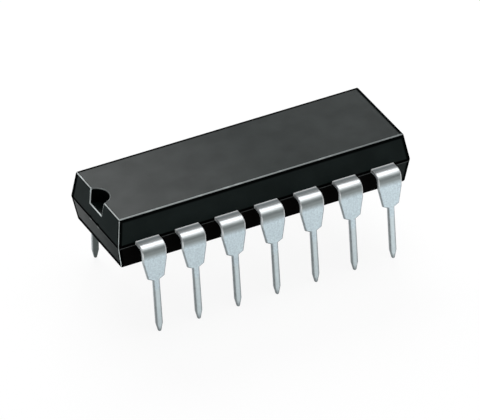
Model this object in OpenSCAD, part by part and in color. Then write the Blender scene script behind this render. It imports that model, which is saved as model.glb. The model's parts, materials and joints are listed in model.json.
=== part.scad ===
// Fourteen-lead dual in-line circuit package, standing on the tips of its leads.
// X runs along the body with the index notch at its -X end, Y across it and Z up.
// The origin is the middle of the footprint, at the level of the lead tips. Millimetres.
// Lead 1 is at the notch on the -Y side. Numbers go along that row and back along the other.

/* [Moulded body] */
// Length of the body at its parting line
body_length = 18.95; // [18.6:0.05:19.5]
// Width of the body at its parting line
body_width = 6.35; // [6.1:0.05:6.6]
// Height of the top above the parting line
top_height = 1.7; // [1.5:0.05:2]
// Depth of the underside below the parting line
bottom_depth = 1.6; // [1.4:0.05:1.9]
// Lean of the moulded walls away from upright, in degrees
draft = 8.5; // [5:0.5:11]
// Radius of the rounded edges and corners
edge_radius = 0.12; // [0.06:0.02:0.2]
// Height of the upright land that the two mould halves leave at the parting line
parting_land = 0.04; // [0.02:0.01:0.08]

/* [Index notch] */
// Radius of the half-round notch that marks lead 1
notch_radius = 0.87; // [0.6:0.01:1]
// Depth of the notch below the top
notch_depth = 0.95; // [0.5:0.05:1.15]

/* [Ejector marks] */
// Diameter of the round marks that the ejector pins leave on the underside
ejector_diameter = 1.5; // [1:0.1:2]
// Depth of those marks
ejector_depth = 0.05; // [0.02:0.01:0.1]
// Distance from the middle of the body to the middle of each mark
ejector_reach = 5.5; // [4:0.5:7]

/* [Leads outside the body] */
// Distance between neighbouring leads in a row
pitch = 2.54; // [2.5:0.01:2.58]
// Distance from the side of the body to the outer faces of the leads at their shoulders
shoulder_reach = 0.955; // [0.9:0.005:1.1]
// Outward lean of the legs, as supplied, in degrees
splay = 3.2; // [0:0.2:6]
// Thickness of the metal strip
strip = 0.25; // [0.2:0.01:0.28]
// Inside radius of the shoulder bend
bend_radius = 0.25; // [0.15:0.05:0.35]
// Width of a lead at its shoulder
shoulder_width = 1.52; // [1.2:0.02:1.7]
// Length below the bend over which a lead keeps its shoulder width
shoulder_drop = 0.5; // [0.1:0.05:0.8]
// Width of a lead at the foot of its taper, just above the step
step_width = 1.06; // [0.8:0.02:1.16]
// Height of the sloping step between the taper and the leg
step_height = 0.17; // [0.05:0.01:0.3]
// Gap between the underside of the body and the level of the steps
standoff = 0.42; // [0.3:0.02:0.6]
// Width of the narrow leg
leg_width = 0.42; // [0.36:0.02:0.56]
// Length of the leg from the level of the steps to its tip
leg_length = 3.63; // [2.9:0.01:3.8]
// Length of the pointed tip
tip_length = 0.55; // [0.2:0.05:0.8]
// Width of the blunt end of the tip
tip_width = 0.2; // [0.1:0.02:0.3]
// Thickness of the blunt end of the tip
tip_strip = 0.16; // [0.1:0.02:0.18]

/* [Leads inside the body] */
// Length of the wide anchor that holds a lead in the body
anchor_length = 0.85; // [0.7:0.05:0.95]
// Width of the anchor head behind its lock notches
anchor_width = 1.14; // [0.9:0.02:1.2]
// Depth of the lock notch in each side of an anchor
lock_depth = 0.22; // [0.1:0.02:0.3]
// Length of the lock notch
lock_length = 0.25; // [0.15:0.05:0.35]
// Cover of moulding between the wall and the lock notch
lock_cover = 0.25; // [0.15:0.05:0.3]
// Width of an inner finger
finger_width = 0.34; // [0.26:0.02:0.36]
// Clearance between the strips of the frame, and around the paddle
frame_gap = 0.2; // [0.15:0.01:0.24]

/* [Paddle and tie bars] */
// Length of the paddle that carries the die
paddle_length = 3; // [2.6:0.1:3.4]
// Width of the paddle
paddle_width = 2.4; // [2.3:0.05:2.6]
// Drop of the paddle below the plane of the leads
downset = 0.25; // [0.15:0.05:0.35]
// Width of the tie bars
tie_width = 0.44; // [0.36:0.02:0.5]
// Width across the two prongs that end each tie bar
fork_width = 1.24; // [1:0.02:1.4]
// Width of one prong
prong_width = 0.24; // [0.18:0.02:0.28]
// Length of the prongs
prong_length = 1.3; // [0.8:0.1:1.6]

/* [Die and bond wires] */
// Length of the silicon die
die_length = 1.6; // [1.3:0.1:1.9]
// Width of the silicon die
die_width = 1.4; // [1.2:0.1:1.6]
// Thickness of the silicon die
die_height = 0.3; // [0.2:0.02:0.4]
// Thickness of the adhesive under the die
attach_height = 0.03; // [0.02:0.01:0.06]
// Width of the adhesive that shows around the die
attach_margin = 0.1; // [0.05:0.01:0.15]
// Distance from the edge of the die to the middle of a wire's ball
pad_inset = 0.12; // [0.08:0.01:0.16]
// Diameter of the bond wire
wire_diameter = 0.03; // [0.025:0.005:0.035]
// Diameter of the ball that welds the wire to the die
ball_diameter = 0.09; // [0.07:0.01:0.11]
// Height of the ball
ball_height = 0.02; // [0.015:0.005:0.03]
// Height of the wire's loop above the die
loop_height = 0.2; // [0.15:0.01:0.3]
// Radius of the bend at the top of the loop
loop_radius = 0.06; // [0.04:0.01:0.08]
// Diameter of the flattened stitch that ends the wire on a finger
stitch_diameter = 0.11; // [0.08:0.01:0.14]
// Thickness of the stitch
stitch_height = 0.012; // [0.008:0.002:0.016]
// Distance from the end of a finger to the stitch
stitch_inset = 0.15; // [0.1:0.01:0.2]

/* [Hidden] */
$fn = 32;
LEADS_PER_ROW = 7;
LEADS = 2 * LEADS_PER_ROW;
LAST_RANK = (LEADS_PER_ROW - 1) / 2;

// Overshoot of a cutting solid past the faces that it opens
over = 1;

// Levels above the lead tips
step_z = leg_length;
underside_z = step_z + standoff;
plane_z = underside_z + bottom_depth;
top_z = plane_z + top_height;
frame_top_z = plane_z + strip / 2;
paddle_top_z = frame_top_z - downset;
die_foot_z = paddle_top_z + attach_height;
die_top_z = die_foot_z + die_height;
notch_floor_z = top_z - notch_depth;

// Places of the end wall at the notch floor, of the side wall and of the middle of a lead's bend
notch_x = body_length / 2 - (top_height - notch_depth) * tan(draft);
wall_y = body_width / 2;
outer_radius = bend_radius + strip;
bend_middle = bend_radius + strip / 2;
bend_y = wall_y + shoulder_reach - outer_radius * cos(splay);
bend_z = plane_z - bend_middle;

// Length of a lead's shoulder, into the body as far as the lock notches
shoulder_length = bend_y - wall_y + lock_cover;

// Lengths down the leaning plate of a lead, measured from the middle of its bend
plate_length = (bend_z + (bend_middle - tip_strip / 2) * sin(splay)) / cos(splay);
step_along = plate_length - step_z / cos(splay);

// Places inside the body, drawn for the leads on the +Y side
anchor_y = wall_y - anchor_length;
tip_x = paddle_length / 2 + frame_gap;
tip_y = paddle_width / 2 + frame_gap;
track_step = finger_width + frame_gap;
first_track_y = (tie_width + finger_width) / 2 + frame_gap;
second_finger_x = tip_x - track_step;
head_y = wall_y - lock_cover - lock_length;
neck_width = anchor_width - 2 * lock_depth;
fork_x = body_length / 2 - prong_length;

// Numbers from 1 to LEADS become a row, a place along it and a rank counted from its middle
function row_sign(i) = i <= LEADS_PER_ROW ? -1 : 1;
function place(i) = (i <= LEADS_PER_ROW ? i - 1 : LEADS - i) - LAST_RANK;
function end_sign(i) = place(i) < 0 ? -1 : 1;
function rank(i) = abs(place(i));

// Height of the straight run of a finger beside the paddle, for the two outer ranks
function track_y(r) = first_track_y + (LAST_RANK - r) * track_step;

// Centre line of an inner finger, from its anchor to its end beside the paddle
function finger_path(r) =
    r == 0 ? [[0, anchor_y], [0, tip_y]]
    : r == 1 ? [
        [pitch, anchor_y],
        [second_finger_x, tip_y + track_step],
        [second_finger_x, tip_y]
    ]
    : [
        [r * pitch, anchor_y],
        [r * pitch - anchor_y + track_y(r), track_y(r)],
        [tip_x, track_y(r)]
    ];

// Place of a wire's stitch on its finger, and of its ball on the die
function stitch_at(r) =
    r == 0 ? [0, tip_y + stitch_inset]
    : r == 1 ? [second_finger_x, tip_y + stitch_inset]
    : [tip_x + stitch_inset, track_y(r)];
function ball_at(r) =
    let (edge_x = die_length / 2 - pad_inset, edge_y = die_width / 2 - pad_inset)
    r == 0 ? [0, edge_y]
    : r == 1 ? [edge_x * 2 / 3, edge_y]
    : [edge_x, edge_y * (2 * (LAST_RANK - r) + 1) / 4];

// Direction across a path at each of its points, longer at a corner so that the strip keeps its width
function across(path, i) =
    let (
        before = path[max(i, 1)] - path[max(i, 1) - 1],
        after = path[min(i + 1, len(path) - 1)] - path[min(i, len(path) - 2)],
        a = [-before[1], before[0]] / norm(before),
        b = [-after[1], after[0]] / norm(after)
    )
    (a + b) / (1 + a * b);

// Outline of a flat strip of even width along a path
function strip_outline(path, width) = concat(
    [for (i = [0 : len(path) - 1]) path[i] + across(path, i) * width / 2],
    [for (i = [len(path) - 1 : -1 : 0]) path[i] - across(path, i) * width / 2]
);

// Half of the body: rounded corners at the parting line, rounded edges at the far face
module moulded_half(height) {
    lean = (height - parting_land / 2) * tan(draft);
    hull() {
        for (sx = [-1, 1], sy = [-1, 1]) {
            translate([
                sx * (body_length / 2 - edge_radius),
                sy * (body_width / 2 - edge_radius),
                0
            ])
                cylinder(r = edge_radius, h = parting_land / 2);
            translate([
                sx * (body_length / 2 - lean - edge_radius),
                sy * (body_width / 2 - lean - edge_radius),
                height - edge_radius
            ])
                sphere(r = edge_radius);
        }
    }
}

// Half-round notch in the top edge of one end, open towards -X
module index_notch() {
    translate([-notch_x, 0, notch_floor_z]) {
        cylinder(r = notch_radius, h = notch_depth + over);
        translate([-over, -notch_radius, 0])
            cube([over, 2 * notch_radius, notch_depth + over]);
    }
}

// Shallow round marks under both ends of the body
module ejector_marks() {
    for (s = [-1, 1])
        translate([s * ejector_reach, 0, underside_z - over])
            cylinder(d = ejector_diameter, h = over + ejector_depth);
}

// The moulding fills every space between the parts that it was moulded round
module moulded_body() {
    color("#2b2f2e")
        difference() {
            translate([0, 0, plane_z]) {
                moulded_half(top_height);
                mirror([0, 0, 1]) moulded_half(bottom_depth);
            }
            index_notch();
            ejector_marks();
            for (i = [1 : LEADS]) {
                lead(i);
                bond_wire(i);
            }
            die_paddle();
            die_attach();
            silicon_die();
        }
}

// Plan of the flat part of a lead, drawn from its bend: shoulder, neck, anchor head and finger
module flat_plan(r) {
    translate([-shoulder_width / 2, -shoulder_length])
        square([shoulder_width, shoulder_length]);
    translate([-neck_width / 2, anchor_y - bend_y])
        square([neck_width, anchor_length]);
    translate([-anchor_width / 2, anchor_y - bend_y])
        square([anchor_width, head_y - anchor_y]);
    translate([-r * pitch, -bend_y])
        polygon(strip_outline(concat([[r * pitch, head_y]], finger_path(r)), finger_width));
}

// Face of the leaning plate, drawn down from its bend
module plate_face() {
    half = [
        [tip_width / 2, -plate_length],
        [leg_width / 2, tip_length - plate_length],
        [leg_width / 2, -step_along - step_height],
        [step_width / 2, -step_along],
        [shoulder_width / 2, -shoulder_drop],
        [shoulder_width / 2, 0]
    ];
    polygon(concat(
        half,
        [for (i = [len(half) - 1 : -1 : 0]) [-half[i][0], half[i][1]]]
    ));
}

// Edge of the same plate, thinned towards its tip
module plate_edge() {
    polygon([
        [bend_middle - tip_strip / 2, -plate_length],
        [bend_middle + tip_strip / 2, -plate_length],
        [outer_radius, tip_length - plate_length],
        [outer_radius, 0],
        [bend_radius, 0],
        [bend_radius, tip_length - plate_length]
    ]);
}

// Bend and leaning plate, drawn in the edge view with the middle of the bend at the origin.
// The bend is swept down from the flat part, and the plate hangs from its end.
module bend_and_plate() {
    rotate([0, 0, 90]) {
        rotate_extrude(angle = splay - 90)
            translate([bend_radius, -shoulder_width / 2])
                square([strip, shoulder_width]);
        rotate([0, 0, splay - 90])
            intersection() {
                translate([0, 0, -pitch / 2])
                    linear_extrude(pitch) plate_edge();
                rotate([0, 90, 0])
                    linear_extrude(outer_radius + over) plate_face();
            }
    }
}

// One lead of the +Y row, on the +X side, at a rank from the middle of the row
module formed_lead(r) {
    translate([r * pitch, bend_y, bend_z]) {
        translate([0, 0, bend_radius])
            linear_extrude(strip) flat_plan(r);
        rotate([90, 0, 90]) bend_and_plate();
    }
}

// Turns a piece of the +X +Y quarter to the quarter of lead i
module at_lead(i) {
    mirror([end_sign(i) < 0 ? 1 : 0, 0, 0])
        mirror([0, row_sign(i) < 0 ? 1 : 0, 0])
            children();
}

module lead(i) {
    color("#c3cdd2") at_lead(i) formed_lead(rank(i));
}

// Tie bar that steps up from the paddle and ends in two prongs, cut flush at the end of the body
module tie_bar() {
    low_z = paddle_top_z - strip / 2;
    route = [
        [paddle_length / 2 - strip, low_z],
        [paddle_length / 2, low_z],
        [paddle_length / 2 + downset, plane_z],
        [fork_x, plane_z]
    ];
    translate([0, tie_width / 2, 0]) rotate([90, 0, 0])
        linear_extrude(tie_width) polygon(strip_outline(route, strip));
    translate([0, 0, frame_top_z - strip])
        linear_extrude(strip) {
            translate([fork_x, -fork_width / 2])
                square([tie_width, fork_width]);
            for (s = [-1, 1])
                translate([fork_x, s * (fork_width - prong_width) / 2 - prong_width / 2])
                    square([prong_length, prong_width]);
        }
}

module die_paddle() {
    color("#b8845a") {
        translate([-paddle_length / 2, -paddle_width / 2, paddle_top_z - strip])
            cube([paddle_length, paddle_width, strip]);
        tie_bar();
        mirror([1, 0, 0]) tie_bar();
    }
}

// Adhesive pressed out around the die, rounded at its corners
module die_attach() {
    color("#a9a9ad")
        translate([0, 0, paddle_top_z])
            linear_extrude(attach_height) {
                square([die_length + 2 * attach_margin, die_width], center = true);
                square([die_length, die_width + 2 * attach_margin], center = true);
                for (sx = [-1, 1], sy = [-1, 1])
                    translate([sx * die_length / 2, sy * die_width / 2])
                        circle(r = attach_margin);
            }
}

module silicon_die() {
    color("#6d7484")
        translate([-die_length / 2, -die_width / 2, die_foot_z])
            cube([die_length, die_width, die_height]);
}

// Straight run of wire between two points of the upright plane through both of its ends
module wire_run(start, end) {
    along = end - start;
    translate([start[0], 0, start[1]])
        rotate([0, atan2(along[0], along[1]), 0])
            cylinder(d = wire_diameter, h = norm(along));
}

// Ball, upright neck, rounded knees at the top of the loop, straight fall and flat stitch
module wire_loop(r) {
    run = stitch_at(r) - ball_at(r);
    finger_z = frame_top_z - die_top_z;
    neck_top = [0, loop_height - loop_radius];
    loop_top = [loop_radius, loop_height];
    translate([ball_at(r)[0], ball_at(r)[1], die_top_z])
        rotate([0, 0, atan2(run[1], run[0])]) {
            cylinder(d = ball_diameter, h = ball_height);
            wire_run([0, 0], neck_top);
            wire_run(neck_top, loop_top);
            wire_run(loop_top, [norm(run), finger_z + wire_diameter / 2]);
            for (knee = [neck_top, loop_top])
                translate([knee[0], 0, knee[1]]) sphere(d = wire_diameter);
            translate([norm(run), 0, finger_z])
                cylinder(d = stitch_diameter, h = stitch_height);
        }
}

module bond_wire(i) {
    color("#d9a441") at_lead(i) wire_loop(rank(i));
}

moulded_body();
for (i = [1 : LEADS]) {
    lead(i);
    bond_wire(i);
}
die_paddle();
die_attach();
silicon_die();
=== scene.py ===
"""Looks of a fourteen-lead dual in-line circuit package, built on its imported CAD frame.

The moulded body and the leads are merged copies of their CAD nodes, with the rim of the
index notch and the stamped edges rounded. The pieces inside the body keep their CAD
meshes. Every piece is dressed in a material made of nodes, and the set is a plain pale
studio. Sizes are in metres, and MM turns millimetres into them.
"""

import json
import logging
import math
from collections.abc import Callable
from dataclasses import dataclass, field
from enum import Enum

import bmesh
import bpy
from mathutils import Matrix, Vector

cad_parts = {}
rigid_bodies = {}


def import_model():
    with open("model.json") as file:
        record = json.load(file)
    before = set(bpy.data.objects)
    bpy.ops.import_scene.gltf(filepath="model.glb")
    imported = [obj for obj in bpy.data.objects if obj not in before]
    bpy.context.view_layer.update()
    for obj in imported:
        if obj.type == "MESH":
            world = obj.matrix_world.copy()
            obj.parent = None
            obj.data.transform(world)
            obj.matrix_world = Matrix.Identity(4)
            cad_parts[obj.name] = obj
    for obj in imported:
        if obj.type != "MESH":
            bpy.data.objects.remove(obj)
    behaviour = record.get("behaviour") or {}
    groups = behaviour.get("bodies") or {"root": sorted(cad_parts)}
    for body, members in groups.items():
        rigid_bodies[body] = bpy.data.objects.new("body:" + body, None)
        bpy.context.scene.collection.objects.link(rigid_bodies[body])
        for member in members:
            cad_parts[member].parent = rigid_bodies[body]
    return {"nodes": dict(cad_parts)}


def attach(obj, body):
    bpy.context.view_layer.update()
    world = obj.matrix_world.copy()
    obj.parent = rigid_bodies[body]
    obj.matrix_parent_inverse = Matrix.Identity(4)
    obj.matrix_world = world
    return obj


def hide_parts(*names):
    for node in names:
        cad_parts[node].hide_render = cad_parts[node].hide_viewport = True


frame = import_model()
bpy.context.view_layer.update()

log = logging.getLogger("circuit_package")

MM = 0.001
PARTING_HEIGHT = 5.65 * MM
TOP_HEIGHT = 7.35 * MM
UNDERSIDE_HEIGHT = 4.05 * MM
HALF_LENGTH = 9.475 * MM
HALF_WIDTH = 3.175 * MM
DRAFT = math.radians(8.5)
LEADS = 14
MERGE_DISTANCE = 1e-7
FLAT_ANGLE = math.radians(0.2)
SMOOTH_ANGLE = math.radians(30)
ROUNDED = "rounded"
MATT_AND_SHADE = "matt_and_shade"
SHEARED = "sheared"
NOISE_RANGE = (0.3, 0.7)
TOP_NORMAL = (0.5, 0.9)
END_NORMAL = (0.4, 0.6)
PARTING_FADE = 0.02 * MM
WHITE = (1.0, 1.0, 1.0, 1.0)

Socket = bpy.types.NodeSocket
Number = float | Socket
Rgba = tuple[float, float, float, float]
Colour = Rgba | Socket
Span = tuple[float, float]
Range = tuple[float, float, float, float]


class Slot(Enum):
    """Material slots of the part's record."""

    EPOXY = "epoxy_moulding"
    TIN = "tin_plated_strip"
    COPPER = "copper_strip"
    ADHESIVE = "silver_adhesive"
    SILICON = "silicon"
    GOLD = "gold_wire"


@dataclass(frozen=True)
class Tone:
    """A colour in linear light."""

    red: float
    green: float
    blue: float

    def rgba(self) -> Rgba:
        """The colour as a node socket takes it."""
        return (self.red, self.green, self.blue, 1.0)


class NodeBoard:
    """Adds and joins the nodes of one material or one node group."""

    def __init__(self, tree: bpy.types.NodeTree) -> None:
        """Starts on a tree.

        Args:
            tree: The node tree that the nodes go into.
        """
        self.tree = tree

    def add(
        self, kind: str, inputs: dict[str | int, object] | None = None, **settings: object
    ) -> bpy.types.Node:
        """Adds one node.

        Args:
            kind: Type of the node, without its ShaderNode prefix.
            inputs: Values or output sockets for its inputs, by name or number.
            **settings: Properties of the node itself.

        Returns:
            The new node.
        """
        node = self.tree.nodes.new("ShaderNode" + kind)
        for name, value in settings.items():
            setattr(node, name, value)
        for name, value in (inputs or {}).items():
            if isinstance(value, Socket):
                self.tree.links.new(value, node.inputs[name])
            else:
                node.inputs[name].default_value = value
        return node

    def math(self, operation: str, *values: Number) -> Socket:
        """Result of a Math node.

        Args:
            operation: Name of the operation.
            *values: Numbers or sockets that it works on.

        Returns:
            The node's output socket.
        """
        return self.add("Math", dict(enumerate(values)), operation=operation).outputs[0]

    def blend(self, factor: Number, low: Colour, high: Colour) -> Socket:
        """Colour between two colours.

        Args:
            factor: Socket or number from 0 to 1.
            low: Colour or socket at 0.
            high: Colour or socket at 1.

        Returns:
            The blended colour's socket.
        """
        return self.add("Mix", {0: factor, 6: low, 7: high}, data_type="RGBA").outputs[2]

    def remap(
        self, value: Socket, low: float, high: float, to_low: Number, to_high: Number
    ) -> Socket:
        """Number moved from one range to another and held inside it.

        Args:
            value: Socket to move.
            low: Start of the old range.
            high: End of the old range.
            to_low: What low becomes, a number or a socket.
            to_high: What high becomes, a number or a socket.

        Returns:
            The socket with the moved number.
        """
        inputs = {0: value, 1: low, 2: high, 3: to_low, 4: to_high}
        return self.add("MapRange", inputs, clamp=True).outputs[0]


class GroupKit:
    """Node groups for the effects that several finishes share, each built once."""

    fine_roughness: float = 0.65
    mottle_scale: float = 0.035
    patch_range: Span = (0.35, 0.6)

    def __init__(self) -> None:
        """Starts with no groups."""
        self.made: dict[str, bpy.types.NodeTree] = {}

    def tree(self, name: str) -> bpy.types.NodeTree:
        """Node group of one effect, built at its first use.

        Args:
            name: One of grain, streaks and edge_wear_and_light.

        Returns:
            The group's tree.
        """
        if name not in self.made:
            group = bpy.data.node_groups.new(name, "ShaderNodeTree")
            getattr(self, name)(group)
            self.made[name] = group
        return self.made[name]

    @staticmethod
    def sockets(
        group: bpy.types.NodeTree, inputs: dict[str, float], outputs: list[str]
    ) -> tuple[NodeBoard, bpy.types.Node, bpy.types.Node]:
        """Gives a group its sockets.

        Args:
            group: The group's tree.
            inputs: Start values of its number inputs, by name.
            outputs: Names of its number outputs.

        Returns:
            The board, the group's input node and its output node.
        """
        group.interface.new_socket("Vector", in_out="INPUT", socket_type="NodeSocketVector")
        for name, value in inputs.items():
            socket = group.interface.new_socket(
                name, in_out="INPUT", socket_type="NodeSocketFloat"
            )
            socket.default_value = value
        for name in outputs:
            group.interface.new_socket(name, in_out="OUTPUT", socket_type="NodeSocketFloat")
        return (
            NodeBoard(group),
            group.nodes.new("NodeGroupInput"),
            group.nodes.new("NodeGroupOutput"),
        )

    def grain(self, group: bpy.types.NodeTree) -> None:
        """Fine grain of a moulded, plated or cut surface, with a slow mottle under it.

        Args:
            group: The tree to fill.
        """
        board, start, end = self.sockets(
            group, {"Size": 0.05 * MM, "Contrast": 1.0}, ["Grain", "Mottle"]
        )
        scale = board.math("DIVIDE", 1.0, start.outputs["Size"])
        vector = start.outputs["Vector"]
        fine = board.add(
            "TexNoise",
            {"Vector": vector, "Scale": scale, "Detail": 3.0, "Roughness": self.fine_roughness},
        )
        slow_scale = board.math("MULTIPLY", scale, self.mottle_scale)
        slow = board.add(
            "TexNoise", {"Vector": vector, "Scale": slow_scale, "Detail": 2.0}
        )
        for name, source in (("Grain", fine), ("Mottle", slow)):
            centred = board.math("SUBTRACT", source.outputs[0], 0.5)
            stretched = board.math("MULTIPLY", centred, start.outputs["Contrast"])
            result = board.math("ADD", stretched, 0.5)
            group.links.new(result, end.inputs[name])

    def streaks(self, group: bpy.types.NodeTree) -> None:
        """Long faint lines that rolling leaves along a strip.

        Args:
            group: The tree to fill.
        """
        board, start, end = self.sockets(
            group, {"Width": 0.04 * MM, "Length": 1.5 * MM}, ["Streak"]
        )
        across = board.math("DIVIDE", 1.0, start.outputs["Width"])
        along = board.math("DIVIDE", 1.0, start.outputs["Length"])
        scale = board.add("CombineXYZ", {0: across, 1: along, 2: along})
        stretched = board.add(
            "VectorMath",
            {0: start.outputs["Vector"], 1: scale.outputs[0]},
            operation="MULTIPLY",
        )
        noise = board.add(
            "TexNoise", {"Vector": stretched.outputs[0], "Scale": 1.0, "Detail": 3.0}
        )
        group.links.new(noise.outputs[0], end.inputs["Streak"])

    def edge_wear_and_light(self, group: bpy.types.NodeTree) -> None:
        """Rounded edges of a piece, with their painted light or shade, broken up in patches.

        Args:
            group: The tree to fill.
        """
        board, start, end = self.sockets(
            group, {"Patch": 0.3 * MM, "Evenness": 0.6}, ["Mask"]
        )
        edge = board.add("Attribute", attribute_name=ROUNDED)
        scale = board.math("DIVIDE", 1.0, start.outputs["Patch"])
        noise = board.add(
            "TexNoise", {"Vector": start.outputs["Vector"], "Scale": scale, "Detail": 2.0}
        )
        patch = board.remap(noise.outputs[0], *self.patch_range, 0.0, 1.0)
        held = board.math("MAXIMUM", patch, start.outputs["Evenness"])
        mask = board.math("MULTIPLY", edge.outputs["Fac"], held)
        group.links.new(mask, end.inputs["Mask"])


KIT = GroupKit()


class Finish:
    """Base of every finish: a material with its board, its coordinates and its shader."""

    name: str = "finish"

    def make(self) -> bpy.types.Material:
        """Builds the material, each finish in its own way."""
        raise NotImplementedError

    def begin(self) -> tuple[bpy.types.Material, NodeBoard, Socket, bpy.types.Node]:
        """Starts the material.

        Returns:
            The material, its board, the socket of the object's coordinates, and the
            shader node.
        """
        material = bpy.data.materials.new(self.name)
        material.use_nodes = True
        tree = material.node_tree
        tree.nodes.clear()
        board = NodeBoard(tree)
        vector = board.add("TexCoord").outputs["Object"]
        shader = board.add("BsdfPrincipled")
        output = board.add("OutputMaterial")
        tree.links.new(shader.outputs[0], output.inputs["Surface"])
        return material, board, vector, shader

    @staticmethod
    def effect(
        board: NodeBoard, name: str, vector: Socket, **inputs: Number
    ) -> bpy.types.Node:
        """Places one of the shared node groups.

        Args:
            board: The material's board.
            name: The effect's name.
            vector: Socket of the coordinates that it reads.
            **inputs: Values for its own inputs.

        Returns:
            The group node.
        """
        values = {"Vector": vector, **inputs}
        return board.add("Group", values, node_tree=KIT.tree(name), name=name, label=name)

    @staticmethod
    def relief(
        board: NodeBoard, shader: bpy.types.Node, height: Socket, depth: float
    ) -> None:
        """Gives the shader's surface a relief.

        Args:
            board: The material's board.
            shader: The shader node.
            height: Socket of the relief from 0 to 1.
            depth: Height of the relief in metres.
        """
        bump = board.add("Bump", {"Height": height, "Distance": depth, "Strength": 1.0})
        board.tree.links.new(bump.outputs[0], shader.inputs["Normal"])


@dataclass(frozen=True)
class BodySides:
    """Masks that tell the sides of the moulded body apart, each a socket from 0 to 1."""

    top: Socket
    end: Socket
    low: Socket

    @classmethod
    def read(cls, board: NodeBoard, place: bpy.types.Node) -> "BodySides":
        """Reads the masks from the normal and the height of the point.

        Args:
            board: The material's board.
            place: Node with the three coordinates of the point.

        Returns:
            The masks of the top, the ends and the lower half.
        """
        face = board.add("SeparateXYZ", {0: board.add("NewGeometry").outputs["Normal"]})
        endward = board.math("ABSOLUTE", face.outputs[0])
        above, below = PARTING_HEIGHT + PARTING_FADE, PARTING_HEIGHT - PARTING_FADE
        return cls(
            top=board.remap(face.outputs[2], *TOP_NORMAL, 0.0, 1.0),
            end=board.remap(endward, *END_NORMAL, 0.0, 1.0),
            low=board.remap(place.outputs[2], above, below, 0.0, 1.0),
        )

    def choose(
        self, board: NodeBoard, top: Number, end: Number, long_side: Number
    ) -> Socket:
        """Picks the number of the side that the point lies on.

        Args:
            board: The material's board.
            top: Number or socket on the top.
            end: Number or socket on the two ends.
            long_side: Number or socket on the two long sides.

        Returns:
            The picked number's socket.
        """
        side = board.remap(self.end, 0.0, 1.0, long_side, end)
        return board.remap(self.top, 0.0, 1.0, side, top)


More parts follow.
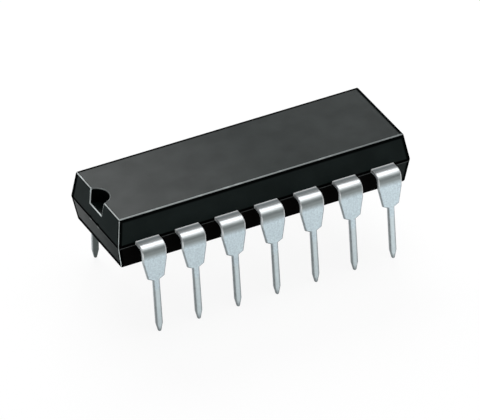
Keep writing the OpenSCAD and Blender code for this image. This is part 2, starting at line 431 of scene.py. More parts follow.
@dataclass(frozen=True)
class MouldedEpoxy(Finish):
    """Dark moulding compound: grain, mottle, painted edge highlights and shade, a parting line.

    A range of four numbers says from which two values it goes to which two.
    """

    name: str = "epoxy_moulding_compound"
    dark: Tone = Tone(0.0030, 0.0062, 0.0058)
    light: Tone = Tone(0.0060, 0.0116, 0.0108)
    # painted shade: tone of the outlines and of the parting line's groove
    line: Tone = Tone(0.0005, 0.0005, 0.0005)
    # painted shade: tone of the lower long sides between the leads
    painted_shade: Tone = Tone(0.0014, 0.0011, 0.0010)
    # painted reflection: a teal tint laid on the end faces
    cool: Tone = Tone(0.006, 0.021, 0.021)
    # painted highlight: tone of the lit edges and of the lip under the parting line
    painted_highlight: Tone = Tone(0.80, 0.87, 0.86)
    speck: Tone = Tone(0.03, 0.034, 0.033)
    speck_range: Range = (0.62, 0.8, 0.0, 0.35)
    grain_size: float = 0.045 * MM
    grain_contrast: float = 1.2
    grain_depth: float = 0.0012 * MM
    roughness: Span = (0.36, 0.46)
    specular: float = 0.005
    sheen_ior: float = 1.156
    sheen_roughness: float = 0.41
    # painted sheen: coat weight by side and position, laying in the lighting
    top_sheen: Range = (-8.5 * MM, 0.8 * MM, 0.98, 0.50)
    right_lift: Range = (2.0 * MM, 8.5 * MM, 0.0, 0.11)
    end_sheen: Range = (-2.5 * MM, 3.2 * MM, 0.24, 0.45)
    low_end_sheen: Range = (-2.5 * MM, 3.2 * MM, 0.22, 1.0)
    long_sheen: Span = (1.0, 0.1)
    painted_shade_end: Span = (8.3 * MM, 8.7 * MM)
    cooling: float = 0.3
    # painted shade: widths of the dark outlines beside the edges
    top_border: float = 0.2 * MM
    end_border: float = 0.36 * MM
    long_border: float = 0.2 * MM
    border_fade: float = 0.07 * MM
    border_strength: float = 0.85
    edge_patch: float = 0.9 * MM
    edge_evenness: float = 0.75
    # the painted edge highlight fades towards the right end
    highlight_fade: Range = (-4.0 * MM, 9.0 * MM, 1.0, 0.55)
    highlight_polish: float = -0.1
    # the parting line: a sunk groove whose darkness is painted shade
    line_width: float = 0.13 * MM
    line_core: float = 0.5
    line_depth: float = -1.5
    # painted highlight: a pale line on the lip under the parting line
    lip_drop: float = 0.1 * MM
    lip_width: float = 0.04 * MM
    lip_core: float = 0.4
    lip_strength: float = 0.14
    sheen_mottle: Span = (0.88, 1.06)

    def between_leads(
        self, board: NodeBoard, place: bpy.types.Node, sides: BodySides
    ) -> Socket:
        """Lower half of the body up to the last lead, with painted shade between the leads.

        Args:
            board: The material's board.
            place: Node with the three coordinates of the point.
            sides: Masks of the body's sides.

        Returns:
            Socket of a number from 0 to 1.
        """
        shaded = board.remap(place.outputs[0], *self.painted_shade_end, 1.0, 0.0)
        return board.math("MULTIPLY", sides.low, shaded)

    def sheen(
        self, board: NodeBoard, place: bpy.types.Node, sides: BodySides, dark: Socket
    ) -> Socket:
        """Painted sheen: the coat each side of the body gets, set by side and position.

        Args:
            board: The material's board.
            place: Node with the three coordinates of the point.
            sides: Masks of the body's sides.
            dark: Mask of the lower half between the leads, where shade is painted.

        Returns:
            Socket of a number from 0 to 1.
        """
        upper_end = board.remap(place.outputs[1], *self.end_sheen)
        lower_end = board.remap(place.outputs[1], *self.low_end_sheen)
        left = board.remap(place.outputs[0], *self.top_sheen)
        right = board.remap(place.outputs[0], *self.right_lift)
        return sides.choose(
            board,
            top=board.math("ADD", left, right),
            end=board.remap(sides.low, 0.0, 1.0, upper_end, lower_end),
            long_side=board.remap(dark, 0.0, 1.0, *self.long_sheen),
        )

    def painted_outline(
        self, board: NodeBoard, place: bpy.types.Node, sides: BodySides, drop: Socket
    ) -> Socket:
        """Painted shade: a dark outline beside some edges of each side.

        Args:
            board: The material's board.
            place: Node with the three coordinates of the point.
            sides: Masks of the body's sides.
            drop: Socket of the point's depth below the parting line.

        Returns:
            Socket of a number from 0 to 1.
        """
        drawn_in = board.math("MULTIPLY", board.math("ABSOLUTE", drop), math.tan(DRAFT))
        width = board.math("SUBTRACT", HALF_WIDTH, drawn_in)
        length = board.math("SUBTRACT", HALF_LENGTH, drawn_in)
        to_far = board.math("SUBTRACT", width, place.outputs[1])
        to_end = board.math("SUBTRACT", length, board.math("ABSOLUTE", place.outputs[0]))
        to_right = board.math("SUBTRACT", length, place.outputs[0])
        to_top = board.math("SUBTRACT", TOP_HEIGHT, place.outputs[2])
        to_foot = board.math("SUBTRACT", place.outputs[2], UNDERSIDE_HEIGHT)
        fade = self.border_fade
        on_top, on_end, on_long = (
            board.remap(board.math("MINIMUM", *near), wide, wide + fade, 1.0, 0.0)
            for near, wide in (
                ((to_far, to_right), self.top_border),
                ((to_far, to_foot), self.end_border),
                ((to_top, to_end), self.long_border),
            )
        )
        return sides.choose(board, top=on_top, end=on_end, long_side=on_long)

    def make(self) -> bpy.types.Material:
        """Builds the material.

        Returns:
            The finished material.
        """
        material, board, vector, shader = self.begin()
        grain = self.effect(
            board, "grain", vector, Size=self.grain_size, Contrast=self.grain_contrast
        )
        edge = self.effect(
            board, "edge_wear_and_light", vector, Patch=self.edge_patch, Evenness=self.edge_evenness
        )
        place = board.add("SeparateXYZ", {0: vector})
        sides = BodySides.read(board, place)
        drop = board.math("SUBTRACT", PARTING_HEIGHT, place.outputs[2])
        matt_and_shade = board.add("Attribute", attribute_name=MATT_AND_SHADE).outputs["Fac"]
        # painted highlight on the rounded edges, fading towards the right end
        fade = board.remap(place.outputs[0], *self.highlight_fade)
        highlight_mask = board.math("MULTIPLY", edge.outputs["Mask"], fade)
        body = board.blend(grain.outputs["Mottle"], self.dark.rgba(), self.light.rgba())
        speck = board.remap(grain.outputs["Grain"], *self.speck_range)
        specked = board.blend(speck, body, self.speck.rgba())
        # painted reflection: a teal tint on the end faces
        cool = sides.choose(board, top=0.0, end=self.cooling, long_side=0.0)
        cooled = board.blend(cool, specked, self.cool.rgba())
        # painted shade on the lower long sides between the leads
        between_leads = self.between_leads(board, place, sides)
        painted_shade = sides.choose(board, top=0.0, end=0.0, long_side=between_leads)
        with_painted_shade = board.blend(painted_shade, cooled, self.painted_shade.rgba())
        # painted shade: dark outlines beside the edges, on roundings away from the light and in
        # the notch
        painted_outline = self.painted_outline(board, place, sides, drop)
        dull = board.math("MAXIMUM", painted_outline, matt_and_shade)
        darkened = board.math("MULTIPLY", dull, self.border_strength)
        bordered = board.blend(darkened, with_painted_shade, self.line.rgba())
        # painted highlight laid on the rounded edges
        painted_highlight = board.blend(highlight_mask, bordered, self.painted_highlight.rgba())
        # painted highlight: a pale line on the lip under the parting line
        off_lip = board.math("ABSOLUTE", board.math("SUBTRACT", drop, self.lip_drop))
        lip_core = self.lip_core * self.lip_width
        lip = board.remap(off_lip, lip_core, self.lip_width, self.lip_strength, 0.0)
        lipped = board.blend(lip, painted_highlight, self.painted_highlight.rgba())
        # painted shade: the dark parting line in its sunk groove
        off_line = board.math("ABSOLUTE", drop)
        line_core = self.line_core * self.line_width
        groove = board.remap(off_line, line_core, self.line_width, 1.0, 0.0)
        unhighlighted = board.math("SUBTRACT", 1.0, edge.outputs["Mask"])
        line = board.math("MULTIPLY", groove, unhighlighted)
        colour = board.blend(line, lipped, self.line.rgba())
        links = board.tree.links
        links.new(colour, shader.inputs["Base Color"])
        rough = board.remap(grain.outputs["Grain"], *NOISE_RANGE, *self.roughness)
        covered = board.math("MAXIMUM", line, dull)
        matted = board.math("MAXIMUM", rough, covered)
        smooth = board.math("MULTIPLY", highlight_mask, self.highlight_polish)
        links.new(board.math("ADD", matted, smooth), shader.inputs["Roughness"])
        bare = board.math("SUBTRACT", 1.0, covered)
        mottle = board.remap(grain.outputs["Mottle"], *NOISE_RANGE, *self.sheen_mottle)
        # painted sheen: coat weight set by side and position
        polish = self.sheen(board, place, sides, between_leads)
        sheen = board.math("MULTIPLY", polish, mottle)
        links.new(board.math("MULTIPLY", sheen, bare), shader.inputs["Coat Weight"])
        shader.inputs["Coat Roughness"].default_value = self.sheen_roughness
        shader.inputs["Coat IOR"].default_value = self.sheen_ior
        shader.inputs["Specular IOR Level"].default_value = self.specular
        sunk = board.math("MULTIPLY", line, self.line_depth)
        relief = board.math("ADD", grain.outputs["Grain"], sunk)
        self.relief(board, shader, relief, self.grain_depth)
        return material


@dataclass(frozen=True)
class TinPlate(Finish):
    """Matt tin over the leads' strip: rolled streaks, fine crystals, duller sheared sides."""

    name: str = "tin_plated_lead"
    bright: Tone = Tone(0.71, 0.83, 0.88)
    dull: Tone = Tone(0.53, 0.63, 0.68)
    sheared: Tone = Tone(0.46, 0.50, 0.52)
    rolled: Tone = Tone(0.15, 0.165, 0.17)
    # painted shade: dark tone of the lower rolled edges, the leg edges and the tips
    leg: Tone = Tone(0.70, 0.78, 0.79)
    # painted highlight: tone of the pale line at the body and of the upper rolled edges
    rim_highlight: Tone = Tone(0.90, 0.92, 0.92)
    crown: Tone = Tone(0.67, 0.735, 0.755)
    # painted highlight: tone of the bend's upper arc
    bend_highlight: Tone = Tone(0.85, 0.89, 0.90)
    # painted reflection: the dark band below the bend
    stretched: Tone = Tone(0.26, 0.29, 0.29)
    # painted shade on the faces turned inward
    inner: Tone = Tone(0.10, 0.118, 0.115)
    rim_highlight_line: Span = (3.25 * MM, 3.30 * MM)
    crown_fade: Span = (5.35 * MM, 5.5 * MM)
    bend_start: Span = (3.47 * MM, 3.53 * MM)
    bend_top: Span = (5.69 * MM, 5.58 * MM)
    edge_fade: Span = (4.7 * MM, 5.2 * MM)
    pitch: float = 2.54 * MM
    leg_top: Span = (3.0 * MM, 2.7 * MM)
    leg_edge: Span = (0.06 * MM, 0.26 * MM)
    tip_fade: Span = (0.1 * MM, 0.4 * MM)
    bend_foot: Span = (4.92 * MM, 5.26 * MM)
    inside_reach: Span = (-0.5 * MM, -2.0 * MM)
    tone_range: Span = (0.45, 0.85)
    leg_strength: float = 0.6
    beside_strength: float = 0.6
    tip_strength: float = 0.6
    cut_strength: float = 0.8
    rolled_edge_strength: float = 0.7
    edge_patch: float = 0.25 * MM
    edge_evenness: float = 0.8
    metallic: Span = (0.75, 0.5)
    roughness: Span = (0.36, 0.42)
    cut_polish: float = -0.04
    streak_range: Span = (0.35, 0.65)
    streak_width: float = 0.05 * MM
    streak_length: float = 1.8 * MM
    streak_strength: float = 0.3
    crystal_size: float = 0.11 * MM
    crystal_contrast: float = 1.1
    crystal_depth: float = 0.0006 * MM

    def make(self) -> bpy.types.Material:
        """Builds the material.

        Returns:
            The finished material.
        """
        material, board, vector, shader = self.begin()
        grain = self.effect(
            board, "grain", vector, Size=self.crystal_size, Contrast=self.crystal_contrast
        )
        streak = self.effect(
            board, "streaks", vector, Width=self.streak_width, Length=self.streak_length
        )
        edge = self.effect(
            board, "edge_wear_and_light", vector, Patch=self.edge_patch, Evenness=self.edge_evenness
        )
        cut = board.add("Attribute", attribute_name=SHEARED).outputs["Fac"]
        faint = board.math("MULTIPLY", streak.outputs["Streak"], self.streak_strength)
        shade = board.math("ADD", grain.outputs["Grain"], faint)
        tone = board.remap(shade, *self.tone_range, 0.0, 1.0)
        plate = board.blend(tone, self.dull.rgba(), self.bright.rgba())
        place = board.add("SeparateXYZ", {0: vector})
        leg = board.remap(place.outputs[2], *self.leg_top, 0.0, 1.0)
        paler = board.math("MULTIPLY", leg, self.leg_strength)
        plate = board.blend(paler, plate, self.leg.rgba())
        # painted shade: darker bands along the leg edges and at the tips
        off_middle = board.math("PINGPONG", place.outputs[0], self.pitch / 2)
        beside = board.remap(off_middle, *self.leg_edge, 0.0, self.beside_strength)
        tip = board.remap(place.outputs[2], *self.tip_fade, self.tip_strength, 0.0)
        dim = board.math("MAXIMUM", board.math("MULTIPLY", leg, beside), tip)
        plate = board.blend(dim, plate, self.rolled.rgba())
        # painted highlight on the bend's upper arc
        across = board.math("ABSOLUTE", place.outputs[1])
        bent = board.remap(across, *self.bend_start, 0.0, 1.0)
        top = board.blend(bent, self.crown.rgba(), self.bend_highlight.rgba())
        crown = board.remap(place.outputs[2], *self.crown_fade, 0.0, 1.0)
        plate = board.blend(crown, plate, top)
        # painted reflection: a dark band below the bend
        band = board.math(
            "MULTIPLY",
            board.remap(place.outputs[2], *self.bend_top, 0.0, 1.0),
            board.remap(place.outputs[2], *self.bend_foot, 0.0, 1.0),
        )
        plate = board.blend(band, plate, self.stretched.rgba())
        # painted shade on the faces turned inward
        face = board.add("SeparateXYZ", {0: board.add("NewGeometry").outputs["Normal"]})
        outward = board.math("MULTIPLY", face.outputs[1], place.outputs[1])
        inside = board.remap(outward, *self.inside_reach, 0.0, 1.0)
        plate = board.blend(inside, plate, self.inner.rgba())
        # higher up, painted highlight on the sheared sides and rolled edges; lower down,
        # painted shade on the rolled edges
        high = board.remap(place.outputs[2], *self.edge_fade, 0.0, 1.0)
        side = board.blend(high, self.sheared.rgba(), self.crown.rgba())
        colour = board.blend(board.math("MULTIPLY", cut, self.cut_strength), plate, side)
        rolled = board.blend(high, self.rolled.rgba(), self.rim_highlight.rgba())
        rolled_edge_mask = board.math("MULTIPLY", edge.outputs["Mask"], self.rolled_edge_strength)
        colour = board.blend(rolled_edge_mask, colour, rolled)
        # painted highlight: a pale line where the lead leaves the body
        clamp = board.remap(across, *self.rim_highlight_line, 1.0, 0.0)
        colour = board.blend(clamp, colour, self.rim_highlight.rgba())
        links = board.tree.links
        links.new(colour, shader.inputs["Base Color"])
        metal = board.remap(cut, 0.0, 1.0, *self.metallic)
        off_rim_highlight = board.math("SUBTRACT", 1.0, clamp)
        links.new(board.math("MULTIPLY", metal, off_rim_highlight), shader.inputs["Metallic"])
        rough = board.remap(streak.outputs["Streak"], *self.streak_range, *self.roughness)
        polish = board.math("MULTIPLY", cut, self.cut_polish)
        links.new(board.math("ADD", rough, polish), shader.inputs["Roughness"])
        self.relief(board, shader, shade, self.crystal_depth)
        return material


@dataclass(frozen=True)
class CopperStrip(Finish):
    """Bare copper alloy of the paddle and tie bars: streaks, tarnish and dark cut ends."""

    name: str = "copper_strip"
    bright: Tone = Tone(0.78, 0.42, 0.27)
    tarnish: Tone = Tone(0.40, 0.19, 0.11)
    oxide: Tone = Tone(0.003, 0.003, 0.003)
    burr: Tone = Tone(0.34, 0.37, 0.36)
    cut_end: Span = (9.2 * MM, 9.3 * MM)
    burr_height: Span = (5.60 * MM, 5.57 * MM)
    roughness: Span = (0.26, 0.48)
    grain_size: float = 0.02 * MM
    grain_contrast: float = 1.4
    streak_width: float = 0.03 * MM
    streak_length: float = 1.2 * MM
    streak_depth: float = 0.0005 * MM
    tarnish_range: Span = (0.15, 0.38)

    def make(self) -> bpy.types.Material:
        """Builds the material.

        Returns:
            The finished material.
        """
        material, board, vector, shader = self.begin()
        grain = self.effect(
            board, "grain", vector, Size=self.grain_size, Contrast=self.grain_contrast
        )
        streak = self.effect(
            board, "streaks", vector, Width=self.streak_width, Length=self.streak_length
        )
        tone = board.math("MULTIPLY", grain.outputs["Mottle"], streak.outputs["Streak"])
        mask = board.remap(tone, *self.tarnish_range, 0.0, 1.0)
        colour = board.blend(mask, self.tarnish.rgba(), self.bright.rgba())
        place = board.add("SeparateXYZ", {0: vector})
        along = board.math("ABSOLUTE", place.outputs[0])
        end = board.remap(along, *self.cut_end, 0.0, 1.0)
        foot = board.remap(place.outputs[2], *self.burr_height, 0.0, 1.0)
        cut = board.blend(foot, self.oxide.rgba(), self.burr.rgba())
        colour = board.blend(end, colour, cut)
        links = board.tree.links
        links.new(colour, shader.inputs["Base Color"])
        links.new(board.remap(end, 0.0, 1.0, 1.0, 0.0), shader.inputs["Metallic"])
        rough = board.remap(mask, 0.0, 1.0, self.roughness[1], self.roughness[0])
        links.new(rough, shader.inputs["Roughness"])
        shader.inputs["Specular IOR Level"].default_value = 0.0
        self.relief(board, shader, streak.outputs["Streak"], self.streak_depth)
        return material


@dataclass(frozen=True)
class SilverAdhesive(Finish):
    """Cured adhesive under the die, grey with silver flakes."""

    name: str = "silver_adhesive"
    resin: Tone = Tone(0.30, 0.29, 0.28)
    flake: Tone = Tone(0.72, 0.72, 0.73)
    flake_size: float = 0.014 * MM
    flake_share: Span = (0.45, 0.55)
    flake_metallic: float = 0.8
    roughness: Span = (0.6, 0.35)
    grain_size: float = 0.02 * MM
    grain_contrast: float = 1.3
    grain_depth: float = 0.002 * MM

    def make(self) -> bpy.types.Material:
        """Builds the material.

        Returns:
            The finished material.
        """
        material, board, vector, shader = self.begin()
        grain = self.effect(
            board, "grain", vector, Size=self.grain_size, Contrast=self.grain_contrast
        )
        flakes = board.add("TexVoronoi", {"Vector": vector, "Scale": 1.0 / self.flake_size})
        spread = board.add("SeparateColor", {0: flakes.outputs["Color"]}).outputs[0]
        mask = board.remap(spread, *self.flake_share, 0.0, 1.0)
        colour = board.blend(mask, self.resin.rgba(), self.flake.rgba())
        links = board.tree.links
        links.new(colour, shader.inputs["Base Color"])
        metal = board.math("MULTIPLY", mask, self.flake_metallic)
        links.new(metal, shader.inputs["Metallic"])
        rough = board.remap(spread, 0.0, 1.0, *self.roughness)
        links.new(rough, shader.inputs["Roughness"])
        self.relief(board, shader, grain.outputs["Grain"], self.grain_depth)
        return material


@dataclass(frozen=True)
class SiliconDie(Finish):
    """Polished silicon with a plain pattern of circuit blocks and tracks on its top."""

    name: str = "silicon_circuit"
    ground: Tone = Tone(0.085, 0.10, 0.135)
    block: Tone = Tone(0.16, 0.13, 0.20)
    track: Tone = Tone(0.55, 0.56, 0.55)
    block_size: float = 0.16 * MM
    block_disorder: float = 0.55
    track_size: float = 0.045 * MM
    track_width: float = 0.06
    track_share: Span = (0.3, 0.35)
    track_metallic: float = 0.9
    track_depth: float = 0.001 * MM
    face_normal: Span = (0.9, 0.95)
    roughness: Span = (0.12, 0.24)
    grain_size: float = 0.03 * MM

    def make(self) -> bpy.types.Material:
        """Builds the material.

        Returns:
            The finished material.
        """
        material, board, vector, shader = self.begin()
        grain = self.effect(board, "grain", vector, Size=self.grain_size, Contrast=1.0)
        blocks = board.add(
            "TexVoronoi",
            {
                "Vector": vector,
                "Scale": 1.0 / self.block_size,
                "Randomness": self.block_disorder,
            },
            distance="CHEBYCHEV",
        )
        tone = board.add("SeparateColor", {0: blocks.outputs["Color"]}).outputs[1]
        ground = board.blend(tone, self.ground.rgba(), self.block.rgba())
        tracks = board.add(
            "TexBrick",
            {
                "Vector": vector,
                "Scale": 1.0 / self.track_size,
                "Mortar Size": self.track_width,
            },
        )
        crowded = board.remap(tone, *self.track_share, 0.0, 1.0)
        line = board.math("MULTIPLY", tracks.outputs["Fac"], crowded)
        face = board.add("NewGeometry").outputs["Normal"]
        up = board.add("SeparateXYZ", {0: face}).outputs[2]
        top = board.remap(up, *self.face_normal, 0.0, 1.0)
        mask = board.math("MULTIPLY", line, top)
        colour = board.blend(mask, ground, self.track.rgba())
        links = board.tree.links
        links.new(colour, shader.inputs["Base Color"])
        metal = board.math("MULTIPLY", mask, self.track_metallic)
        links.new(metal, shader.inputs["Metallic"])
        rough = board.remap(grain.outputs["Mottle"], *NOISE_RANGE, *self.roughness)
        links.new(rough, shader.inputs["Roughness"])
        self.relief(board, shader, mask, self.track_depth)
        return material


@dataclass(frozen=True)
class GoldWire(Finish):
    """Drawn gold with a fine grain and a slow change of tone along the wire."""

    name: str = "drawn_gold"
    bright: Tone = Tone(1.0, 0.72, 0.30)
    deep: Tone = Tone(0.80, 0.50, 0.15)
    roughness: Span = (0.16, 0.3)
    grain_size: float = 0.006 * MM
    grain_contrast: float = 1.2
    grain_depth: float = 0.0003 * MM

    def make(self) -> bpy.types.Material:
        """Builds the material.

        Returns:
            The finished material.
        """
        material, board, vector, shader = self.begin()
        grain = self.effect(
            board, "grain", vector, Size=self.grain_size, Contrast=self.grain_contrast
        )
        colour = board.blend(grain.outputs["Mottle"], self.deep.rgba(), self.bright.rgba())
        links = board.tree.links
        links.new(colour, shader.inputs["Base Color"])
        shader.inputs["Metallic"].default_value = 1.0
        rough = board.remap(grain.outputs["Grain"], *NOISE_RANGE, *self.roughness)
        links.new(rough, shader.inputs["Roughness"])
        self.relief(board, shader, grain.outputs["Grain"], self.grain_depth)
        return material


@dataclass(frozen=True)
class StudioFloor(Finish):
    """Pale floor, white to the camera and in the metal, with the soft shadow kept.

    It is clear from below, so that the underside of the part can be looked at.
    """

    name: str = "studio_floor"
    paper: Tone = Tone(0.92, 0.92, 0.92)
    fibre: Tone = Tone(0.90, 0.90, 0.90)
    fibre_size: float = 0.5 * MM
    roughness: float = 0.95
    glow: float = 0.9
    mirrored_glow: float = 0.5

    def make(self) -> bpy.types.Material:
        """Builds the material.

        Returns:
            The finished material.
        """
        material, board, vector, shader = self.begin()
        grain = self.effect(board, "grain", vector, Size=self.fibre_size, Contrast=1.0)
        paper = board.blend(grain.outputs["Grain"], self.fibre.rgba(), self.paper.rgba())
        path = board.add("LightPath")
        seen = board.math("MULTIPLY", path.outputs["Is Camera Ray"], self.glow)
        bent = board.math(
            "MAXIMUM", path.outputs["Is Glossy Ray"], path.outputs["Is Transmission Ray"]
        )
        mirrored = board.math("MULTIPLY", bent, self.mirrored_glow)
        share = board.math("MAXIMUM", seen, mirrored)
        links = board.tree.links
        links.new(paper, shader.inputs["Base Color"])
        shader.inputs["Roughness"].default_value = self.roughness
        shader.inputs["Specular IOR Level"].default_value = 0.0
        glow = board.add("Emission", {"Color": WHITE, "Strength": 1.0})
        above = board.add("MixShader", {0: share, 1: shader.outputs[0], 2: glow.outputs[0]})
        below = board.add("NewGeometry").outputs["Backfacing"]
        clear = board.add("BsdfTransparent")
        both = board.add("MixShader", {0: below, 1: above.outputs[0], 2: clear.outputs[0]})
        output = next(node for node in board.tree.nodes if node.type == "OUTPUT_MATERIAL")
        links.new(both.outputs[0], output.inputs["Surface"])
        return material


FINISHES: dict[Slot, Finish] = {
    Slot.EPOXY: MouldedEpoxy(),
    Slot.TIN: TinPlate(),
    Slot.COPPER: CopperStrip(),
    Slot.ADHESIVE: SilverAdhesive(),
    Slot.SILICON: SiliconDie(),
    Slot.GOLD: GoldWire(),
}


class Dresser:
    """Keeps one material for each slot and puts it on pieces and CAD nodes."""

    def __init__(self) -> None:
        """Starts with no materials made."""
        self.made: dict[Slot, bpy.types.Material] = {}

    def dress(self, piece: bpy.types.Object, slot: Slot) -> None:
        """Gives a piece or a CAD node the material of a slot.

        Args:
            piece: The object to dress.
            slot: The slot whose finish it takes.
        """
        if slot not in self.made:
            self.made[slot] = FINISHES[slot].make()
        if not piece.material_slots:
            piece.data.materials.append(self.made[slot])
        for place in piece.material_slots:
            place.material = self.made[slot]


def merged_copy(node: str) -> bmesh.types.BMesh:
    """Copies a CAD node's triangles, joins them and clears the edges inside flat faces.

    Args:
        node: Name of the CAD node.

    Returns:
        The joined mesh.
    """
    mesh = bmesh.new()
    mesh.from_mesh(frame["nodes"][node].data)
    bmesh.ops.remove_doubles(mesh, verts=mesh.verts, dist=MERGE_DISTANCE)
    bmesh.ops.dissolve_limit(
        mesh,
        angle_limit=FLAT_ANGLE,
        use_dissolve_boundaries=False,
        verts=mesh.verts,
        edges=mesh.edges,
    )
    return mesh


def round_edges(
    mesh: bmesh.types.BMesh,
    chosen: Callable[[bmesh.types.BMEdge], bool],
    width: float,
    segments: int,
    held: bool = True,
) -> list[bmesh.types.BMFace]:
    """Rounds the chosen edges and marks the new faces as rounded.

    Args:
        mesh: The mesh to work on.
        chosen: Says which edges are rounded.
        width: Width of the rounding on each face.
        segments: Number of steps across the rounding.
        held: Whether short edges beside the rounding may narrow it.

    Returns:
        The new faces.
    """
    layer = mesh.faces.layers.float.get(ROUNDED) or mesh.faces.layers.float.new(ROUNDED)
    edges = [edge for edge in mesh.edges if chosen(edge)]
    made = bmesh.ops.bevel(
        mesh,
        geom=edges,
        offset=width,
        offset_type="OFFSET",
        segments=segments,
        profile=0.5,
        affect="EDGES",
        clamp_overlap=held,
        material=-1,
    )
    for face in made["faces"]:
        face[layer] = 1.0
    return made["faces"]


def finish_piece(
    mesh: bmesh.types.BMesh, name: str, node: str
) -> bpy.types.Object:
    """Turns a mesh into a piece that stands for a CAD node and rides on the root body.

    Args:
        mesh: The finished mesh, which is freed.
        name: Name of the piece.
        node: CAD node that it stands for.

    Returns:
        The new object.
    """
    for face in mesh.faces:
        face.smooth = True
    for edge in mesh.edges:
        inner = len(edge.link_faces) == 2
        edge.smooth = inner and edge.calc_face_angle(0.0) < SMOOTH_ANGLE
    data = bpy.data.meshes.new(name)
    mesh.to_mesh(data)
    mesh.free()
    piece = bpy.data.objects.new(name, data)
    bpy.context.scene.collection.objects.link(piece)
    weighted = piece.modifiers.new("even_faces", "WEIGHTED_NORMAL")
    weighted.keep_sharp = True
    weighted.weight = 100
    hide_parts(node)
    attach(piece, "root")
    return piece


@dataclass
class MouldedBody:
    """The moulded body, with its long soft edges, index notch and ejector marks.

    A crest holds the two limits of the normal inside which a rounding gets a painted highlight.
    """

    node: str = "moulded_body"
    top_height: float = TOP_HEIGHT
    underside_height: float = UNDERSIDE_HEIGHT
    notch_middle: float = 9.36 * MM
    notch_radius: float = 0.87 * MM
    notch_floor_height: float = 6.4 * MM
    notch_clearance: float = 0.03 * MM
    rim_angle: float = math.radians(35)
    rim_width: float = 0.05 * MM
    rim_steps: int = 3
    rim_reach: float = 1.2
    top_rim_highlight: float = 0.2
    notch_taper: float = 0.88
    floor_shift: tuple[float, float, float] = (0.008 * MM, 0.0, 0.05 * MM)
    # painted shade, with a rough finish, inside the notch
    wall_matt_and_shade: float = 1.0
    floor_matt_and_shade: float = 0.55
    upright: float = 0.5
    # normal limits and strengths of the painted edge highlights
    end_crest: Span = (0.62, -0.3)
    end_highlight: float = 0.8
    front_crest: Span = (0.68, -0.12)
    front_highlight: float = 0.5
    corner_crest: Span = (0.25, -0.52)
    corner_highlight: float = 1.0
    hollow: Span = (9.1 * MM, 2.9 * MM)
    skin: float = 0.2 * MM
    flat_faces: int = 16
    flat_spread: float = math.radians(3)

    def in_notch(self, place: Vector) -> bool:
        """Says whether a point lies in the index notch or on its faces.

        Args:
            place: The point.

        Returns:
            True inside the half-round notch and on its wall and floor.
        """
        to_axis = math.hypot(place.x + self.notch_middle, place.y)
        return (
            to_axis < self.notch_radius + self.notch_clearance
            and place.z > self.notch_floor_height - self.notch_clearance
        )

    def on_notch_rim(self, edge: bmesh.types.BMEdge) -> bool:
        """Says whether an edge lies on the outer rim of the index notch.

        Args:
            edge: Edge of the body's mesh.

        Returns:
            True for a sharp edge between the notch and the outside of the body.
        """
        if len(edge.link_faces) != 2 or edge.calc_face_angle(0.0) < self.rim_angle:
            return False
        if not all(self.in_notch(vert.co) for vert in edge.verts):
            return False
        inside = [self.in_notch(face.calc_center_median()) for face in edge.link_faces]
        return inside[0] != inside[1]

    def painted_highlight_level(self, normal: Vector) -> float:
        """Strength of the painted highlight on a rounded edge, by the way that it faces.

        Args:
            normal: Normal of a face of the rounding.

        Returns:
            The painted highlight along the crest of the top edges at the notch end and the
            front, and of the near corner, and 0 on the others, which get painted shade and a
            rough finish.
        """
        if normal.z > self.end_crest[0] and normal.x < self.end_crest[1]:
            return self.end_highlight
        if normal.z > self.front_crest[0] and normal.y < self.front_crest[1]:
            return self.front_highlight
        level = abs(normal.z) < self.corner_crest[0]
        if level and max(normal.x, normal.y) < self.corner_crest[1]:
            return self.corner_highlight
        return 0.0

    def taper_notch(self, mesh: bmesh.types.BMesh) -> None:
        """Draws the floor of the index notch in, as the draft of the mould does.

        Args:
            mesh: The body's mesh.
        """
        depth = self.top_height - self.notch_floor_height
        margin = self.rim_reach * self.rim_width
        for vert in mesh.verts:
            down = (self.top_height - vert.co.z) / depth
            to_axis = math.hypot(vert.co.x + self.notch_middle, vert.co.y)
            if to_axis < self.notch_radius + margin and 0.0 < down < 1.0 + margin / depth:
                vert.co.y *= 1.0 - (1.0 - self.notch_taper) * down
                vert.co += Vector(self.floor_shift) * down

    def mark_soft_edges(self, mesh: bmesh.types.BMesh) -> None:
        """Marks painted highlight or shade on the moulded roundings, and painted shade in the
        notch.

        Args:
            mesh: The body's mesh.
        """
        rounded = mesh.faces.layers.float.new(ROUNDED)
        matt_and_shade = mesh.faces.layers.float.new(MATT_AND_SHADE)
        by_size = sorted(mesh.faces, key=lambda face: -face.calc_area())
        walls = [face.normal.copy() for face in by_size[: self.flat_faces]]
        spread = math.cos(self.flat_spread)
        for face in mesh.faces:
            centre = face.calc_center_median()
            outside = (
                abs(centre.x) > self.hollow[0]
                or abs(centre.y) > self.hollow[1]
                or centre.z > self.top_height - self.skin
                or centre.z < self.underside_height + self.skin
            )
            # painted shade, with a rough finish, inside the notch
            if self.in_notch(centre):
                on_wall = abs(face.normal.z) < self.upright
                face[matt_and_shade] = self.wall_matt_and_shade if on_wall else self.floor_matt_and_shade
                continue
            if not outside:
                continue
            # painted highlight on roundings that face the lamps, painted shade with a rough
            # finish on the others
            if all(face.normal.dot(wall) < spread for wall in walls):
                face[rounded] = self.painted_highlight_level(face.normal)
                face[matt_and_shade] = 1.0 if face[rounded] == 0.0 else 0.0

    def build(self, dresser: Dresser) -> bpy.types.Object:
        """Makes the body and dresses it.

        Args:
            dresser: Gives the material.

        Returns:
            The finished piece.
        """
        mesh = merged_copy(self.node)
        self.mark_soft_edges(mesh)
        # painted highlight on the rounded rim of the notch, fainter along its top
        rim = round_edges(
            mesh, self.on_notch_rim, self.rim_width, self.rim_steps, held=False
        )
        layer = mesh.faces.layers.float[ROUNDED]
        for face in rim:
            if face.calc_center_median().z > self.top_height - self.rim_width:
                face[layer] = self.top_rim_highlight
        self.taper_notch(mesh)
        piece = finish_piece(mesh, "body_moulding", self.node)
        dresser.dress(piece, Slot.EPOXY)
        return piece


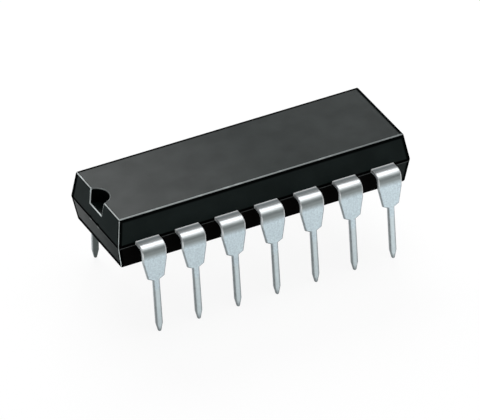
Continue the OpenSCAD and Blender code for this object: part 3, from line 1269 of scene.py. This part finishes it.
@dataclass
class LeadRow:
    """The fourteen plated leads, each with stamped edges, sheared sides and a cut tip."""

    count: int = LEADS
    roll: float = 0.08 * MM
    roll_steps: int = 4
    sharp: float = math.radians(40)
    face_lean: float = 0.05
    side_lean: float = 0.2
    sheared_lean: float = 0.6
    tip_normal: float = -0.9
    tip_height: float = 0.1 * MM

    def on_stamped_edge(self, edge: bmesh.types.BMEdge) -> bool:
        """Says whether an edge runs between a face of the strip and a cut side.

        Args:
            edge: Edge of a lead's mesh.

        Returns:
            True where the stamping tool left the edge.
        """
        if len(edge.link_faces) != 2 or edge.calc_face_angle(0.0) < self.sharp:
            return False
        turned = sorted(abs(face.normal.x) for face in edge.link_faces)
        return turned[0] < self.face_lean and turned[1] > self.side_lean

    def mark_sheared(self, mesh: bmesh.types.BMesh) -> None:
        """Marks the faces that the stamping tool sheared, which are the sides and the tips.

        Args:
            mesh: A lead's mesh, before its edges are rounded.
        """
        layer = mesh.faces.layers.float.new(SHEARED)
        for face in mesh.faces:
            side = abs(face.normal.x) > self.sheared_lean
            low = face.calc_center_median().z < self.tip_height
            tip = face.normal.z < self.tip_normal and low
            face[layer] = 1.0 if side or tip else 0.0

    def lead(self, number: int, dresser: Dresser) -> bpy.types.Object:
        """Makes one lead.

        Args:
            number: Its number, counted from the notch.
            dresser: Gives the material.

        Returns:
            The finished piece.
        """
        node = f"lead_{number}"
        mesh = merged_copy(node)
        self.mark_sheared(mesh)
        round_edges(mesh, self.on_stamped_edge, self.roll, self.roll_steps)
        piece = finish_piece(mesh, f"plated_{node}", node)
        dresser.dress(piece, Slot.TIN)
        return piece

    def build(self, dresser: Dresser) -> list[bpy.types.Object]:
        """Makes all the leads.

        Args:
            dresser: Gives the material.

        Returns:
            The finished pieces, in the order of their numbers.
        """
        return [self.lead(number, dresser) for number in range(1, self.count + 1)]


@dataclass
class InnerAssembly:
    """The paddle, adhesive, die and bond wires, which keep their CAD meshes."""

    finishes: dict[str, Slot] = field(
        default_factory=lambda: {
            "die_paddle": Slot.COPPER,
            "die_attach": Slot.ADHESIVE,
            "silicon_die": Slot.SILICON,
        }
    )
    wires: int = LEADS

    def build(self, dresser: Dresser) -> list[bpy.types.Object]:
        """Dresses the CAD nodes inside the body.

        Args:
            dresser: Gives the materials.

        Returns:
            The dressed nodes.
        """
        numbers = range(1, self.wires + 1)
        wires = {f"bond_wire_{number}": Slot.GOLD for number in numbers}
        for name, slot in {**self.finishes, **wires}.items():
            dresser.dress(frame["nodes"][name], slot)
        return [frame["nodes"][name] for name in (*self.finishes, *wires)]


@dataclass(frozen=True)
class Lamp:
    """One soft area lamp of the studio."""

    name: str
    place: tuple[float, float, float]
    size: tuple[float, float]
    radiance: float
    aim: tuple[float, float, float] = (0.0, 0.0, 4.5 * MM)

    def hang(self) -> bpy.types.Object:
        """Hangs the lamp and turns it to its aim.

        Returns:
            The lamp object.
        """
        data = bpy.data.lights.new(self.name, "AREA")
        data.shape = "RECTANGLE"
        data.size, data.size_y = self.size
        data.energy = self.radiance * math.pi * self.size[0] * self.size[1]
        lamp = bpy.data.objects.new(self.name, data)
        lamp.location = self.place
        towards = Vector(self.aim) - Vector(self.place)
        lamp.rotation_euler = towards.to_track_quat("-Z", "Y").to_euler()
        bpy.context.scene.collection.objects.link(lamp)
        return lamp


@dataclass(frozen=True)
class PhotoCamera:
    """The camera at the photograph's angle, found by fitting the body's corners to it."""

    azimuth: float = -25.4937
    elevation: float = 33.8728
    roll: float = -2.1323
    distance: float = 346.094 * MM
    pixels_per_mm: float = 17.1922
    centre: Span = (241.1054, 176.9949)
    picture: tuple[int, int] = (480, 420)
    sensor: float = 36.0
    clip: Span = (0.01, 5.0)

    def place(self) -> bpy.types.Object:
        """Places the camera and makes it the scene's own.

        Returns:
            The camera object.
        """
        angles = (self.azimuth, self.elevation, self.roll)
        azimuth, elevation, roll = (math.radians(angle) for angle in angles)
        zenith = Vector((0, 0, 1))
        around = Vector((math.sin(azimuth), -math.cos(azimuth), 0.0))
        back = math.cos(elevation) * around + math.sin(elevation) * zenith
        level = (-back).cross(zenith).normalized()
        upright = level.cross(-back)
        right = math.cos(roll) * level + math.sin(roll) * upright
        up = -math.sin(roll) * level + math.cos(roll) * upright
        side = (self.centre[0] - self.picture[0] / 2) / self.pixels_per_mm * MM
        rise = (self.picture[1] / 2 - self.centre[1]) / self.pixels_per_mm * MM
        middle = Vector((0, 0, PARTING_HEIGHT))
        place = middle - side * right - rise * up + self.distance * back
        data = bpy.data.cameras.new("photo_camera")
        data.sensor_width = self.sensor
        data.sensor_fit = "HORIZONTAL"
        focal = self.pixels_per_mm * self.distance / MM
        data.lens = focal * self.sensor / self.picture[0]
        data.clip_start, data.clip_end = self.clip
        camera = bpy.data.objects.new("photo_camera", data)
        turn = Matrix((right, up, back)).transposed().to_4x4()
        camera.matrix_world = Matrix.Translation(place) @ turn
        bpy.context.scene.collection.objects.link(camera)
        bpy.context.scene.camera = camera
        return camera


@dataclass
class Studio:
    """Floor, lamps, surroundings and camera."""

    floor_size: float = 3.0
    world_level: float = 0.2
    world_tint: Rgba = (0.96, 0.98, 1.0, 1.0)
    lamps: tuple[Lamp, ...] = (
        Lamp("back_lamp", (0.027, 0.12, 0.094), (0.11, 0.07), 8.7),
        Lamp("top_lamp", (0.052, 0.022, 0.21), (0.18, 0.245), 1.8),
        Lamp("front_lamp", (0.063, -0.132, 0.137), (0.16, 0.15), 1.3),
    )

    def floor(self) -> bpy.types.Object:
        """Lays the floor at the level of the lead tips.

        Returns:
            The floor object.
        """
        mesh = bmesh.new()
        bmesh.ops.create_grid(mesh, x_segments=1, y_segments=1, size=self.floor_size / 2)
        data = bpy.data.meshes.new("studio_floor")
        mesh.to_mesh(data)
        mesh.free()
        floor = bpy.data.objects.new("studio_floor", data)
        floor.data.materials.append(StudioFloor().make())
        bpy.context.scene.collection.objects.link(floor)
        return floor

    def surroundings(self) -> None:
        """Fills the room with an even dim light, white where the camera looks past it."""
        world = bpy.data.worlds.new("studio_room")
        world.use_nodes = True
        board = NodeBoard(world.node_tree)
        shade = world.node_tree.nodes["Background"]
        seen = board.add("LightPath").outputs["Is Camera Ray"]
        level = board.remap(seen, 0.0, 1.0, self.world_level, 1.0)
        colour = board.blend(seen, self.world_tint, WHITE)
        board.tree.links.new(level, shade.inputs["Strength"])
        board.tree.links.new(colour, shade.inputs["Color"])
        bpy.context.scene.world = world

    def build(self) -> None:
        """Sets up the whole studio."""
        self.floor()
        self.surroundings()
        for lamp in self.lamps:
            lamp.hang()
        PhotoCamera().place()
        bpy.context.scene.view_settings.view_transform = "Standard"


def write_sizes() -> None:
    """Brings the view layer up to date."""
    bpy.context.view_layer.update()


def main() -> None:
    """Builds every sub-assembly in order and reports each piece."""
    logging.basicConfig(level=logging.INFO, format="%(message)s")
    dresser = Dresser()
    body = MouldedBody().build(dresser)
    log.info("body: %s, %d faces", body.name, len(body.data.polygons))
    for lead in LeadRow().build(dresser):
        log.info("lead: %s, %d faces", lead.name, len(lead.data.polygons))
    for node in InnerAssembly().build(dresser):
        log.info("inside: %s", node.name)
    Studio().build()
    write_sizes()


if __name__ == "__main__":
    main()
